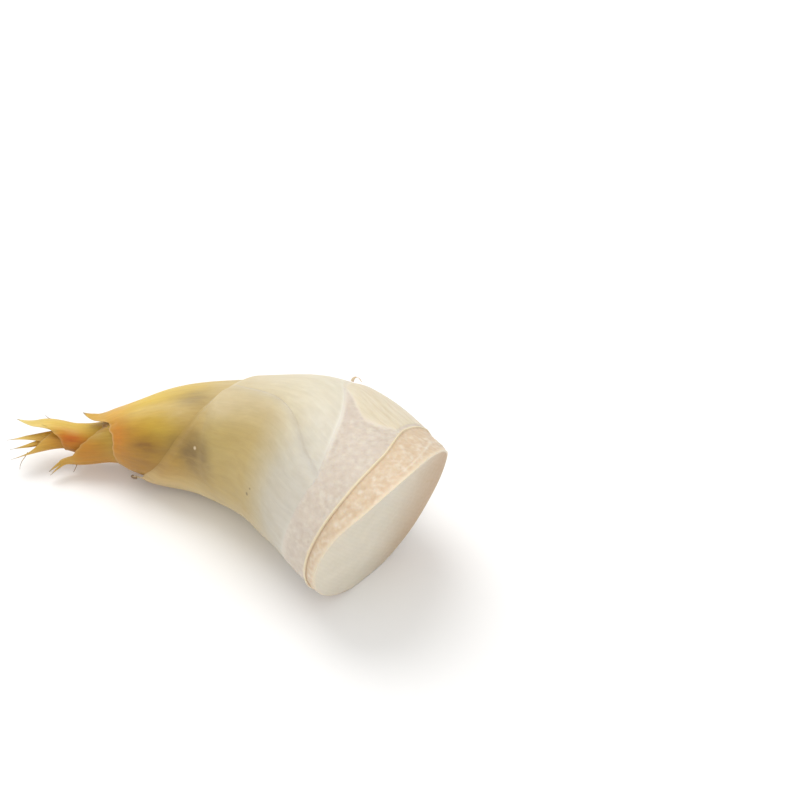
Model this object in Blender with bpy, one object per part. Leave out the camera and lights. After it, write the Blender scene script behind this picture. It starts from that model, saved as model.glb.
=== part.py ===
"""Bamboo shoot, horn shaped, lying on its side: a flesh core inside wrapped culm sheaths."""

import bpy
import numpy as np

MM = 0.001

# Centre line from behind the cut to the tip, with the radius of the outer envelope (mm).
SPINE = np.array(
    [
        # x, y, z, radius
        [71.0, -39.0, 36.5, 33.0],
        [47.5, -26.0, 35.6, 35.2],
        [33.0, -17.0, 35.1, 36.0],
        [17.5, -6.2, 34.4, 35.8],
        [-1.0, 2.0, 32.6, 34.4],
        [-18.0, 6.0, 30.0, 30.2],
        [-33.0, 8.7, 26.7, 27.4],
        [-51.0, 8.1, 24.2, 24.1],
        [-68.5, 5.2, 20.4, 20.5],
        [-85.0, 3.4, 16.3, 15.7],
        [-96.0, 0.5, 13.8, 13.7],
        [-110.0, -2.4, 12.8, 12.6],
        [-118.0, -7.0, 12.3, 12.2],
        [-125.5, -13.0, 12.0, 11.8],
    ]
)
CROWN = np.array([-0.231, 0.571, 0.788])  # the side that bends outwards; angle 0

# Oblique knife cut through the thick end, and how far the face stands off the plane (mm).
CUT_POINT = np.array([45.0, -24.0, 36.0])
CUT_NORMAL = np.array([0.915, -0.272, -0.300])
CUT_STEP = [1.5, 2.8, 1.0, -3.5, -5.0, -3.5, -1.5, -0.5, -1.0, -2.2, -2.4, -0.5]

# Rings on the exposed flesh, one station every 30 degrees from the crown (mm along the spine).
BAND_WIDTH = [17.5, 13.5, 11.0, 6.8, 5.0, 4.6, 4.6, 5.0, 5.5, 7.5, 11.0, 15.5]
BASE_RING = [74.0, 53.0, 41.0, 40.5, 45.0, 53.0, 60.0, 66.0, 69.0, 71.0, 74.0, 77.0]
RIDGE_HEIGHT = 0.6
LOBE_HEIGHT = 0.5
LUMP_HEIGHT = 0.45

# Sheath stack (mm).
WALL = 0.7
POINT_WALL = 0.62  # wall at the point of a blade
LEAF_WALL = 0.66
POINT_HALF = 0.36  # half the least width of a blade or leaf
GAP = 0.3
ROOT_GAP = 0.45  # along the shoot, between a sheath's root and the step in the flesh
STEP_RUN = 0.12  # length along the shoot of each step in the flesh
WRAP_STEP = WALL + GAP
DEPTH = [0.0, 2.0, 4.0, 6.0, 8.1, 9.2, 10.3]
CORE_DEPTH = [2.0, 4.0, 6.0, 8.1, 9.2, 10.3, 11.4]
ROOT_S = [None, 88.0, 99.0, 114.0, 134.0, 156.0, 168.0]
BETWEEN = [None, 3, 0, 0, 1, 1, 0]

CORE_COLUMNS = 66
COLOURS = {
    "core": (0.86, 0.76, 0.60, 1.0),
    "sheath_1": (0.83, 0.74, 0.52, 1.0),
    "sheath_2": (0.80, 0.60, 0.25, 1.0),
    "sheath_3": (0.72, 0.55, 0.24, 1.0),
    "sheath_4": (0.82, 0.50, 0.20, 1.0),
    "sheath_5": (0.80, 0.58, 0.26, 1.0),
    "sheath_6": (0.82, 0.60, 0.28, 1.0),
    "sheath_7": (0.80, 0.62, 0.30, 1.0),
}


def natural_spline(knots, values, query):
    """Natural cubic through the values, carried on in a straight line at both ends."""
    n = len(knots)
    h = np.diff(knots)
    system = np.eye(n)
    right = np.zeros((n, values.shape[1]))
    for i in range(1, n - 1):
        system[i, i - 1 : i + 2] = [h[i - 1], 2 * (h[i - 1] + h[i]), h[i]]
        slope = (values[i + 1] - values[i]) / h[i] - (values[i] - values[i - 1]) / h[i - 1]
        right[i] = 6 * slope
    bend = np.linalg.solve(system, right)
    inside = np.clip(query, knots[0], knots[-1])
    i = np.clip(np.searchsorted(knots, inside) - 1, 0, n - 2)
    a = (inside - knots[i])[..., None]
    b = (knots[i + 1] - inside)[..., None]
    step = h[i][..., None]
    return (
        (bend[i] * b**3 + bend[i + 1] * a**3) / (6 * step)
        + (values[i] / step - bend[i] * step / 6) * b
        + (values[i + 1] / step - bend[i + 1] * step / 6) * a
    )


KNOTS = np.concatenate([[0.0], np.cumsum(np.linalg.norm(np.diff(SPINE[:, :3], axis=0), axis=1))])
LENGTH = KNOTS[-1]


def smooth(x):
    x = np.clip(x, 0.0, 1.0)
    return x * x * (3 - 2 * x)


def ring(table, degrees):
    """Smooth periodic curve through evenly spaced angle stations."""
    count = len(table)
    u = (np.asarray(degrees, float) % 360.0) / (360.0 / count)
    i = np.floor(u).astype(int)
    t = u - i
    table = np.asarray(table)
    p = [table[(i + k) % count] for k in (-1, 0, 1, 2)]
    return 0.5 * (
        2 * p[1]
        + (p[2] - p[0]) * t
        + (2 * p[0] - 5 * p[1] + 4 * p[2] - p[3]) * t**2
        + (3 * p[1] - p[0] - 3 * p[2] + p[3]) * t**3
    )


def frame_at(s):
    """Point, crown direction and side direction of the centre line at s."""
    s = np.asarray(s, float)
    inside = np.clip(s, 0.0, LENGTH)
    point = natural_spline(KNOTS, SPINE[:, :3], inside)
    ahead = natural_spline(KNOTS, SPINE[:, :3], np.clip(inside + 0.05, 0, LENGTH))
    behind = natural_spline(KNOTS, SPINE[:, :3], np.clip(inside - 0.05, 0, LENGTH))
    along = ahead - behind
    along /= np.linalg.norm(along, axis=-1, keepdims=True)
    point = point + along * (s - inside)[..., None]
    crown = CROWN - (along @ CROWN)[..., None] * along
    crown /= np.linalg.norm(crown, axis=-1, keepdims=True)
    return point, crown, np.cross(crown, along)


def envelope(s, degrees):
    """Radius of the outermost surface, a little out of round."""
    radius = natural_spline(KNOTS, SPINE[:, 3:], np.clip(s, 0, LENGTH))[..., 0]
    a = np.radians(degrees)
    return radius + 0.25 * np.sin(2 * a + 0.045 * s) + 0.18 * np.sin(3 * a - 0.06 * s + 1.0)


def place(s, degrees, depth, floor=None):
    """World point at a depth under the envelope; the underside is pressed flat at the floor."""
    s, degrees, depth = np.broadcast_arrays(
        np.asarray(s, float), np.asarray(degrees, float), np.asarray(depth, float)
    )
    point, crown, side = frame_at(s)
    a = np.radians(degrees)[..., None]
    radius = (envelope(s, degrees) - depth)[..., None]
    world = point + radius * (np.cos(a) * crown + np.sin(a) * side)
    lowest = np.maximum(depth, 0.0) if floor is None else floor
    world[..., 2] = np.maximum(world[..., 2], lowest)
    return world


def cut_s(degrees):
    """Where the knife plane meets the envelope, with the lip left proud on one side."""
    normal = CUT_NORMAL / np.linalg.norm(CUT_NORMAL)
    near = np.full(np.shape(degrees), 0.0)
    far = np.full(np.shape(degrees), 70.0)
    lip = ring(CUT_STEP, degrees)
    for _ in range(30):
        middle = 0.5 * (near + far)
        beyond = (place(middle, degrees, 0.0) - CUT_POINT) @ normal > lip
        near = np.where(beyond, middle, near)
        far = np.where(beyond, far, middle)
    return 0.5 * (near + far)


def lumps(s, degrees):
    """Root buds under the skin: rounded bumps in uneven rows."""
    a = np.radians(degrees)
    wave = np.sin(17 * a + 0.5 * s) * np.cos(0.9 * s + 3 * np.sin(5 * a))
    wave = wave + 0.6 * np.sin(29 * a - 0.7 * s + 1.3)
    return np.clip(wave, -0.6, 1.4)


def lobe_share(degrees, across):
    """1 on the smooth tongue left on the crown between the ridge and the first sheath."""
    turned = (degrees + 180.0) % 360.0 - 180.0
    edge = 8.0 + 9.0 * np.sin(np.pi * across)
    return smooth((edge - turned) / 5.0) * smooth((turned + 75.0) / 12.0)


def add_mesh(name, points, faces, collection):
    mesh = bpy.data.meshes.new(name)
    mesh.from_pydata([tuple(p) for p in np.asarray(points) * MM], [], faces)
    mesh.validate()
    made = bpy.data.objects.new(name, mesh)
    collection.objects.link(made)
    material = bpy.data.materials.new(name)
    material.use_nodes = True
    shader = material.node_tree.nodes["Principled BSDF"]
    shader.inputs["Base Color"].default_value = COLOURS[name]
    shader.inputs["Roughness"].default_value = 0.55
    material.diffuse_color = COLOURS[name]
    mesh.materials.append(material)
    return made


def core_rows():
    """Rings of the core from the cut rim to the hidden point, as (s, depth) per column."""
    degrees = np.arange(CORE_COLUMNS) * 360.0 / CORE_COLUMNS
    cut = cut_s(degrees)
    width = ring(BAND_WIDTH, degrees)
    ridge = cut + width
    base = ring(BASE_RING, degrees)
    rows = [(cut, np.full_like(cut, 0.3))]
    for share in (0.07, 0.25, 0.45, 0.65, 0.82):
        s = cut + share * width
        fade = min(1.0, share * 8) * (1.0 if share < 0.8 else 0.5)
        rows.append((s, 0.35 - LUMP_HEIGHT * fade * lumps(s, degrees)))
    rows.append((ridge - 1.3, np.full_like(cut, 0.75)))
    crest = 0.2 * np.sin(np.radians(5 * degrees)) + 0.15 * np.sin(np.radians(11 * degrees))
    rows.append((ridge - 0.3, -RIDGE_HEIGHT + crest))
    rows.append((ridge + 0.9, -0.8 * RIDGE_HEIGHT + crest))
    rows.append((ridge + 2.2, np.full_like(cut, 0.1)))
    start = ridge + 2.2
    for share in (0.12, 0.27, 0.42, 0.57, 0.72, 0.86, 0.95):
        s = start + share * (base - start)
        smooth_top = lobe_share(degrees, share)
        grain = (1 - smooth_top) * 0.5 * LUMP_HEIGHT * lumps(s + 3.0, degrees) * (share < 0.9)
        rows.append((s, 0.15 - grain - LOBE_HEIGHT * smooth_top * (share < 0.9)))
    rows.append((base, np.full_like(cut, 0.0)))
    rows.append((base + STEP_RUN, np.full_like(cut, CORE_DEPTH[0])))
    last = base
    for index in range(1, 7):
        root = np.full_like(cut, ROOT_S[index])
        before = np.full_like(cut, CORE_DEPTH[index - 1])
        count = BETWEEN[index]
        for k in range(1, count + 1):
            rows.append((last + (root - last) * k / (count + 1), before))
        rows.append((root, before))
        rows.append((root + STEP_RUN, np.full_like(cut, CORE_DEPTH[index])))
        last = root
    for s, extra in ((176.0, 0.3), (181.0, 1.2)):
        rows.append((np.full_like(cut, s), np.full_like(cut, CORE_DEPTH[6] + extra)))
    return degrees, rows


def build_core(collection):
    degrees, rows = core_rows()
    rings = [place(s, degrees, depth) for s, depth in rows]
    rim = rings[0]
    middle = rim.mean(axis=0)
    normal = CUT_NORMAL / np.linalg.norm(CUT_NORMAL)
    angles = np.radians(degrees)
    face = []
    for share in (0.0, 0.38, 0.72, 0.93):
        spot = middle + share * (rim - middle)
        flat = spot - ((spot - CUT_POINT) @ normal)[:, None] * normal
        proud = ((rim - CUT_POINT) @ normal)[:, None] * normal
        grain = 0.12 * np.sin(9 * share + 4 * angles)[:, None] * normal
        face.append(flat + proud * share**5 + grain * (0 < share < 0.9))
    points = [face[0][0]] + [p for loop in face[1:] + rings for p in loop]
    points.append(rings[-1].mean(axis=0))
    faces = []
    n = CORE_COLUMNS
    for j in range(n):
        faces.append((0, 1 + j, 1 + (j + 1) % n))
    loops = len(face) - 1 + len(rings)
    for i in range(loops - 1):
        for j in range(n):
            a, b = 1 + i * n + j, 1 + i * n + (j + 1) % n
            c, d = b + n, a + n
            faces.append((a, d, c))
            faces.append((a, c, b))
    end = 1 + (loops - 1) * n
    for j in range(n):
        faces.append((end + j, len(points) - 1, end + (j + 1) % n))
    return add_mesh("core", points, faces, collection)


class Shell:
    """A sheet of quads with an outer and an inner skin, closed along every free edge."""

    def __init__(self):
        self.outer = []
        self.inner = []
        self.quads = []

    def add_row(self, outer, inner):
        first = len(self.outer)
        self.outer.extend(outer)
        self.inner.extend(inner)
        return list(range(first, first + len(outer)))

    def join(self, low, high):
        for j in range(len(low) - 1):
            self.quads.append((low[j], low[j + 1], high[j + 1], high[j]))

    def build(self, name, collection):
        count = len(self.outer)
        skin = np.array(self.outer)
        tris = []
        for a, b, c, d in self.quads:
            if np.linalg.norm(skin[a] - skin[c]) < np.linalg.norm(skin[b] - skin[d]):
                tris += [(a, b, c), (a, c, d)]
            else:
                tris += [(a, b, d), (b, c, d)]
        edges = {}
        for a, b, c in tris:
            for edge in ((a, b), (b, c), (c, a)):
                edges[edge] = True
        faces = [(a, c, b) for a, b, c in tris]
        faces += [(a + count, b + count, c + count) for a, b, c in tris]
        for a, b in edges:
            if (b, a) not in edges:
                faces.append((a, b, b + count))
                faces.append((a, b + count, a + count))
        return add_mesh(name, self.outer + self.inner, faces, collection)


def wrapped(v, start, span, hug):
    """Extra depth of a spiral wrap at angle v, drawn in against the next layer by hug."""
    turn = (v - start) / 360.0
    overlap = max(0.0, span - 360.0)
    draw = hug * smooth((v - start - overlap - 6.0) / 40.0) * smooth((start + 372.0 - v) / 40.0)
    return WRAP_STEP * (turn + (1 - turn) * draw * 0.9)


def sheath(
    name, index, centre, start, span, columns, rows, root, mouth, blades, collection, flare=0.0
):
    """One culm sheath: a wrapped sheet from its root to its mouth, with blades on the mouth."""
    shell = Shell()
    depth = DEPTH[index]
    previous = None
    for i in range(rows + 1):
        w = i / rows
        first = start(w)
        v = first + span(w) * np.linspace(0, 1, columns + 1)
        degrees = centre + v
        s = root(degrees) * (1 - w) + mouth(v) * w
        hug = smooth((w - 0.55) / 0.45)
        out = depth + wrapped(v, first, span(w), hug)
        out = out - flare * smooth((w - 0.84) / 0.16) * np.exp(-((v / 75.0) ** 2))
        outer = place(s, degrees, out, depth)
        inner = place(s, degrees, out + WALL, depth + WALL)
        row = shell.add_row(outer, inner)
        if previous:
            shell.join(previous, row)
        previous = row
    for blade in blades:
        add_blade(shell, previous, v, s, out, centre, **blade)
    return shell.build(name, collection)


def add_prong(shell, low, stage, side, v_mid, spread, s0, depth0, blade, centre):
    """One run of a forked blade from row low to its point; side is -1 or 1."""
    columns = len(low)
    across = np.linspace(-1, 1, columns)
    for k in range(1, blade["steps"] + 1):
        t = k / blade["steps"]
        u = stage + (1 - stage) * t
        width = max((1 - t) ** blade["belly"], 0.02)
        tip_s = s0 + blade["length"] * u
        rise = blade["lift"] * u**1.7
        local = envelope(np.array(tip_s), np.array(centre + v_mid)) - depth0
        least = np.degrees(POINT_HALF / (local + rise))
        half = max(spread * width, least)
        middle = v_mid + blade["turn"] * u**1.3 + side * (spread + (blade["part"] - spread) * t)
        curl = 0.35 * across**2 * width * min(1, 2 * u)
        depths = depth0 - rise - curl
        rows_s = tip_s - 0.5 * width * (1 - u) * across**2
        degrees = centre + middle + across * half
        outer = place(rows_s, degrees, depths)
        inner = place(rows_s, degrees, depths + WALL * (1 - u) + POINT_WALL * u)
        high = shell.add_row(outer, inner)
        shell.join(low, high)
        low = high


def add_blade(
    shell, row, v, s, out, centre, at, half, length, lift, turn, steps, belly, fork=0.0, part=0.0
):
    """A pointed blade grown from the mouth columns nearest the angle at; fork splits it in two."""
    blade = dict(length=length, lift=lift, turn=turn, steps=steps, belly=belly, part=part)
    middle = int(np.argmin(np.abs(v - at)))
    pick = slice(middle - half, middle + half + 1)
    base_v, base_s, base_depth = v[pick], s[pick], out[pick]
    across = np.linspace(-1, 1, 2 * half + 1)
    low = row[pick]
    span = 0.5 * (base_v[-1] - base_v[0])
    stem = steps if fork == 0.0 else 2
    for k in range(1, stem + 1):
        u = k / steps if fork == 0.0 else fork * k / stem
        narrow = (1 - u) ** belly if fork == 0.0 else 1 - 0.45 * u / fork
        width = max(narrow * (1 - 0.12 * np.sin(np.pi * min(1, 2 * u))), 0.02)
        tip_s = base_s[half] + length * u
        rise = lift * u**1.7
        local = envelope(np.array(tip_s), np.array(centre + at)) - base_depth[half]
        least = np.degrees(POINT_HALF / (local + rise))
        spread = max(span * width, least)
        degrees = centre + at + turn * u**1.3 + across * spread
        back = (1 - u) ** 2 * (base_s - base_s[half])
        rows_s = tip_s + back - 0.5 * width * (1 - u) * across**2
        depths = base_depth * (1 - u) + base_depth[half] * u - rise
        curl = 0.35 * across**2 * width * min(1, 2 * u)
        outer = place(rows_s, degrees, depths - curl)
        inner = place(rows_s, degrees, depths - curl + WALL * (1 - u) + POINT_WALL * u)
        high = shell.add_row(outer, inner)
        shell.join(low, high)
        low = high
    if fork:
        for side, pieces in ((-1, low[: half + 1]), (1, low[half:])):
            add_prong(
                shell, pieces, fork, side, at, spread / 2, base_s[half], base_depth[half], blade, centre
            )


def build_sheath_1(collection):
    sheath(
        "sheath_1", 0, 170.0,
        start=lambda w: -109.0 - 31.0 * w**0.8,
        span=lambda w: 374.0 - 8.0 * w,
        columns=56, rows=10,
        root=lambda a: ring(BASE_RING, a) + ROOT_GAP,
        mouth=lambda v: 161.0 - 0.33 * np.minimum(np.abs(v), 138.0),
        blades=[dict(at=0.0, half=2, length=4.6, lift=1.3, turn=4.0, steps=3, belly=0.45)],
        collection=collection,
    )


def build_sheath_2(collection):
    sheath(
        "sheath_2", 1, 20.0,
        start=lambda w: -176.0,
        span=lambda w: 370.0 - 6.0 * w,
        columns=44, rows=9,
        root=lambda a: np.full_like(a, ROOT_S[1] + ROOT_GAP),
        mouth=lambda v: 168.0
        + 8.0 * np.exp(-((v / 36.0) ** 2))
        + 2.5 * smooth((np.abs(v) - 65.0) / 50.0)
        + 1.6 * np.exp(-(((v - 54.0) / 8.0) ** 2))
        + 1.6 * np.exp(-(((v + 58.0) / 8.0) ** 2)),
        blades=[dict(at=15.0, half=3, length=12.0, lift=2.6, turn=-11.0, steps=5, belly=0.95)],
        collection=collection,
    )


def build_sheath_3(collection):
    sheath(
        "sheath_3", 2, 172.0,
        start=lambda w: -178.0,
        span=lambda w: 368.0 - 6.0 * w,
        columns=34, rows=8,
        root=lambda a: np.full_like(a, ROOT_S[2] + ROOT_GAP),
        mouth=lambda v: 190.5 - 11.5 * (np.minimum(np.abs(v), 116.0) / 100.0) ** 1.8,
        blades=[
            dict(
                at=-20.0, half=2, length=14.2, lift=5.4, turn=1.0, steps=3, belly=0.8, fork=0.5,
                part=7.0,
            )
        ],
        collection=collection,
        flare=3.0,
    )


def build_sheath_4(collection):
    sheath(
        "sheath_4", 3, 8.0,
        start=lambda w: -178.0,
        span=lambda w: 366.0 - 6.0 * w,
        columns=28, rows=7,
        root=lambda a: np.full_like(a, ROOT_S[3] + ROOT_GAP),
        mouth=lambda v: 195.0 + 10.0 * np.exp(-((v / 62.0) ** 2)),
        blades=[dict(at=0.0, half=4, length=8.0, lift=2.6, turn=-6.0, steps=4, belly=0.7)],
        collection=collection,
        flare=3.6,
    )


def pointed_leaf(name, index, centre, tip, shoulder, half_angle, lift, sway, columns, rows, collection):
    """An inner leaf with no clear mouth: it narrows evenly to its point."""
    shell = Shell()
    depth = DEPTH[index]
    previous = None
    start = ROOT_S[index] + ROOT_GAP
    across = np.linspace(-1, 1, columns + 1)
    for i in range(rows + 1):
        w = i / rows
        s = start + (tip - start) * (1 - (1 - w) ** 1.25)
        u = max(0.0, (s - shoulder) / (tip - shoulder))
        rise = lift * u**1.6
        radius = float(envelope(np.array(s), np.array(centre))) - depth + rise
        spread = max(half_angle * (1 - u) ** 1.7, np.degrees(POINT_HALF / radius))
        degrees = centre + sway * u + across * spread
        back = 1.2 * across**2 * min(1.0, 4 * u) * (1 - u)
        rows_s = s - back
        out = depth - rise
        inner = place(rows_s, degrees, out + LEAF_WALL)
        row = shell.add_row(place(rows_s, degrees, out), inner)
        if previous:
            shell.join(previous, row)
        previous = row
    return shell.build(name, collection)


def build_inner_leaves(collection):
    for name, index, centre, tip, shoulder, half_angle, lift, sway, columns, rows in (
        ("sheath_5", 4, 165.0, 219.0, 197.0, 172.0, 1.6, -6.0, 20, 14),
        ("sheath_6", 5, 20.0, 219.0, 198.0, 168.0, 1.2, 6.0, 16, 14),
        ("sheath_7", 6, 120.0, 218.5, 199.0, 160.0, 0.0, 0.0, 12, 12),
    ):
        pointed_leaf(
            name, index, centre, tip, shoulder, half_angle, lift, sway, columns, rows, collection
        )


def main():
    for item in list(bpy.data.objects):
        bpy.data.objects.remove(item, do_unlink=True)
    collection = bpy.data.collections.new("bamboo_shoot")
    bpy.context.scene.collection.children.link(collection)
    build_core(collection)
    build_sheath_1(collection)
    build_sheath_2(collection)
    build_sheath_3(collection)
    build_sheath_4(collection)
    build_inner_leaves(collection)


main()
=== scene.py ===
"""Bamboo shoot with its looks: veined sheaths, root-bud bands, cut flesh, blades and bristles."""

import bpy
import numpy as np
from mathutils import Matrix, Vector


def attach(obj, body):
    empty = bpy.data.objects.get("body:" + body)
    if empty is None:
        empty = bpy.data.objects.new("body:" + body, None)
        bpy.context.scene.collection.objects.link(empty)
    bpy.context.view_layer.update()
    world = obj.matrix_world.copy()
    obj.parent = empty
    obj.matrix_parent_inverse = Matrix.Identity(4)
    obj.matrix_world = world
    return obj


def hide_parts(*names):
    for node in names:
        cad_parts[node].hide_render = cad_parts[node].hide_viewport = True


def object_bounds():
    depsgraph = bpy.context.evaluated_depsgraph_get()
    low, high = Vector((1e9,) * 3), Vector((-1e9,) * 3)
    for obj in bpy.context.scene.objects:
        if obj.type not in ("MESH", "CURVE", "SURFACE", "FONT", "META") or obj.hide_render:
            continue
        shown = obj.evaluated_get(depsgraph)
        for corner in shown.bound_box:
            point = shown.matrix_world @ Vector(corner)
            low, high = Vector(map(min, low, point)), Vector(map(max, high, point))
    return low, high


MM = 0.001

# The same centre line and rings as the solids, in millimetres.
SPINE = np.array(
    [
        # x, y, z, radius
        [71.0, -39.0, 36.5, 33.0],
        [47.5, -26.0, 35.6, 35.2],
        [33.0, -17.0, 35.1, 36.0],
        [17.5, -6.2, 34.4, 35.8],
        [-1.0, 2.0, 32.6, 34.4],
        [-18.0, 6.0, 30.0, 30.2],
        [-33.0, 8.7, 26.7, 27.4],
        [-51.0, 8.1, 24.2, 24.1],
        [-68.5, 5.2, 20.4, 20.5],
        [-85.0, 3.4, 16.3, 15.7],
        [-96.0, 0.5, 13.8, 13.7],
        [-110.0, -2.4, 12.8, 12.6],
        [-118.0, -7.0, 12.3, 12.2],
        [-125.5, -13.0, 12.0, 11.8],
    ]
)
CROWN = np.array([-0.231, 0.571, 0.788])
CUT_POINT = np.array([45.0, -24.0, 36.0])
CUT_NORMAL = np.array([0.915, -0.272, -0.300])
CUT_NORMAL /= np.linalg.norm(CUT_NORMAL)
CUT_STEP = [1.5, 2.8, 1.0, -3.5, -5.0, -3.5, -1.5, -0.5, -1.0, -2.2, -2.4, -0.5]
BAND_WIDTH = [17.5, 13.5, 11.0, 6.8, 5.0, 4.6, 4.6, 5.0, 5.5, 7.5, 11.0, 15.5]
BASE_RING = [74.0, 53.0, 41.0, 40.5, 45.0, 53.0, 60.0, 66.0, 69.0, 71.0, 74.0, 77.0]
WRAP_STEP = 1.0
DEPTH = [0.0, 2.0, 4.0, 6.0, 8.1, 9.2, 10.3]
ROOT_S = [None, 88.0, 99.0, 114.0, 134.0, 156.0, 168.0]
ROOT_GAP = 0.45  # how far a sheath's root stands off its ring
LEAF_ROOT_GAP = 0.1
THICK_RADIUS = 35.0  # about the radius of the thick end, which spaces its buds

WALL = 0.62
MARGIN_WALL = 0.13  # at the edges of blades and leaves, and the most at a sheath's own edges
BLADE_WALL = 0.42
POINT_HALF = 0.07  # half the least width of a blade
LEAF_POINT_HALF = 0.05
CORE_COLUMNS = 432
BRISTLE_STEPS = 24
BRISTLE_SIDES = 8

GROWTH_RADIUS = 30.0  # radius of the straightened shoot that the grain is drawn on
RAMP_LENGTH = 240.0  # length along the shoot that a whole colour ramp covers
TONE = 0.86  # the plant reflects this share of its colours under the lights below


def srgb(red, green, blue):
    """Linear colour of an sRGB colour given from 0 to 255, toned down for the lights."""
    c = np.array([red, green, blue]) / 255.0
    linear = np.where(c <= 0.04045, c / 12.92, ((c + 0.055) / 1.055) ** 2.4) * TONE
    return (*[float(x) for x in linear], 1.0)


# ---------------------------------------------------------------- shape formulas


def natural_spline(knots, values, query):
    """Natural cubic through the values, held at its ends beyond the knots."""
    n = len(knots)
    h = np.diff(knots)
    system = np.eye(n)
    right = np.zeros((n, values.shape[1]))
    for i in range(1, n - 1):
        system[i, i - 1 : i + 2] = [h[i - 1], 2 * (h[i - 1] + h[i]), h[i]]
        slope = (values[i + 1] - values[i]) / h[i] - (values[i] - values[i - 1]) / h[i - 1]
        right[i] = 6 * slope
    bend = np.linalg.solve(system, right)
    inside = np.clip(query, knots[0], knots[-1])
    i = np.clip(np.searchsorted(knots, inside) - 1, 0, n - 2)
    a = (inside - knots[i])[..., None]
    b = (knots[i + 1] - inside)[..., None]
    step = h[i][..., None]
    return (
        (bend[i] * b**3 + bend[i + 1] * a**3) / (6 * step)
        + (values[i] / step - bend[i] * step / 6) * b
        + (values[i + 1] / step - bend[i + 1] * step / 6) * a
    )


KNOTS = np.concatenate([[0.0], np.cumsum(np.linalg.norm(np.diff(SPINE[:, :3], axis=0), axis=1))])
LENGTH = KNOTS[-1]


def smooth(x):
    """Soft step from 0 to 1."""
    x = np.clip(x, 0.0, 1.0)
    return x * x * (3 - 2 * x)


def ring(table, degrees):
    """Smooth periodic curve through evenly spaced angle stations."""
    count = len(table)
    u = (np.asarray(degrees, float) % 360.0) / (360.0 / count)
    i = np.floor(u).astype(int)
    t = u - i
    table = np.asarray(table)
    p = [table[(i + k) % count] for k in (-1, 0, 1, 2)]
    return 0.5 * (
        2 * p[1]
        + (p[2] - p[0]) * t
        + (2 * p[0] - 5 * p[1] + 4 * p[2] - p[3]) * t**2
        + (3 * p[1] - p[0] - 3 * p[2] + p[3]) * t**3
    )


def frame_at(s):
    """Point, crown direction and side direction of the centre line at s."""
    s = np.asarray(s, float)
    inside = np.clip(s, 0.0, LENGTH)
    point = natural_spline(KNOTS, SPINE[:, :3], inside)
    ahead = natural_spline(KNOTS, SPINE[:, :3], np.clip(inside + 0.05, 0, LENGTH))
    behind = natural_spline(KNOTS, SPINE[:, :3], np.clip(inside - 0.05, 0, LENGTH))
    along = ahead - behind
    along /= np.linalg.norm(along, axis=-1, keepdims=True)
    point = point + along * (s - inside)[..., None]
    crown = CROWN - (along @ CROWN)[..., None] * along
    crown /= np.linalg.norm(crown, axis=-1, keepdims=True)
    return point, crown, np.cross(crown, along)


def envelope(s, degrees):
    """Radius of the outermost surface, a little out of round."""
    radius = natural_spline(KNOTS, SPINE[:, 3:], np.clip(s, 0, LENGTH))[..., 0]
    a = np.radians(degrees)
    return radius + 0.25 * np.sin(2 * a + 0.045 * s) + 0.18 * np.sin(3 * a - 0.06 * s + 1.0)


def waves(s, degrees, seed, count=14, around=(2, 9), along=0.16):
    """Smooth irregular field, mostly within -1.5 to 1.5, that closes round the shoot."""
    dice = np.random.default_rng(seed)
    total = 0.0
    a = np.radians(degrees)
    for _ in range(count):
        m = dice.integers(around[0], around[1] + 1)
        k = dice.uniform(-along, along)
        total = total + np.sin(m * a + k * s + dice.uniform(0, 6.283))
    return total / np.sqrt(count)


def dents(s, degrees):
    """Shallow unevenness shared by every layer, mostly inwards and at most 0.11 mm outwards."""
    return 0.07 * (1.2 + waves(s, degrees, 5))


def place(s, degrees, depth, floor=None):
    """World point at a depth under the envelope; the underside is pressed flat at the floor."""
    s, degrees, depth = np.broadcast_arrays(
        np.asarray(s, float), np.asarray(degrees, float), np.asarray(depth, float)
    )
    point, crown, side = frame_at(s)
    a = np.radians(degrees)[..., None]
    radius = (envelope(s, degrees) - depth - dents(s, degrees))[..., None]
    world = point + radius * (np.cos(a) * crown + np.sin(a) * side)
    lowest = np.maximum(depth, 0.0) if floor is None else floor
    world[..., 2] = np.maximum(world[..., 2], lowest)
    return world


def cut_s(degrees):
    """Where the knife plane meets the envelope, with the lip left proud on one side."""
    near = np.full(np.shape(degrees), 0.0)
    far = np.full(np.shape(degrees), 70.0)
    lip = ring(CUT_STEP, degrees)
    for _ in range(30):
        middle = 0.5 * (near + far)
        beyond = (place(middle, degrees, 0.0) - CUT_POINT) @ CUT_NORMAL > lip
        near = np.where(beyond, middle, near)
        far = np.where(beyond, far, middle)
    return 0.5 * (near + far)


def buds(s, degrees, pitch, columns, seed, low=0.45, high=1.0):
    """Rounded root buds on a jittered grid: height from 0 to about 1."""
    dice = np.random.default_rng(seed)
    rows = 60
    jitter = dice.uniform(-0.38, 0.38, (rows, columns, 2))
    size = dice.uniform(low, high, (rows, columns))
    turn = (np.asarray(degrees) % 360.0) / 360.0 * columns
    step = s / pitch
    i, j = np.floor(step).astype(int), np.floor(turn).astype(int)
    best = np.zeros(np.shape(s))
    wide = 2 * np.pi * THICK_RADIUS / columns
    for di in (-1, 0, 1):
        for dj in (-1, 0, 1):
            r, c = (i + di) % rows, (j + dj) % columns
            ds = (i + di + 0.5 + jitter[r, c, 0] - step) * pitch
            dt = (j + dj + 0.5 + jitter[r, c, 1] - turn) * wide
            reach = (0.35 + 0.35 * size[r, c]) * pitch
            best = np.maximum(best, size[r, c] * smooth(1 - np.hypot(ds, dt) / reach))
    return best


def lobe_share(degrees, across):
    """1 on the smooth tongue left on the crown between the ridge and the first sheath."""
    turned = (degrees + 180.0) % 360.0 - 180.0
    edge = 8.0 + 9.0 * np.sin(np.pi * across)
    return smooth((edge - turned) / 4.0) * smooth((turned + 75.0) / 12.0)


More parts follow.
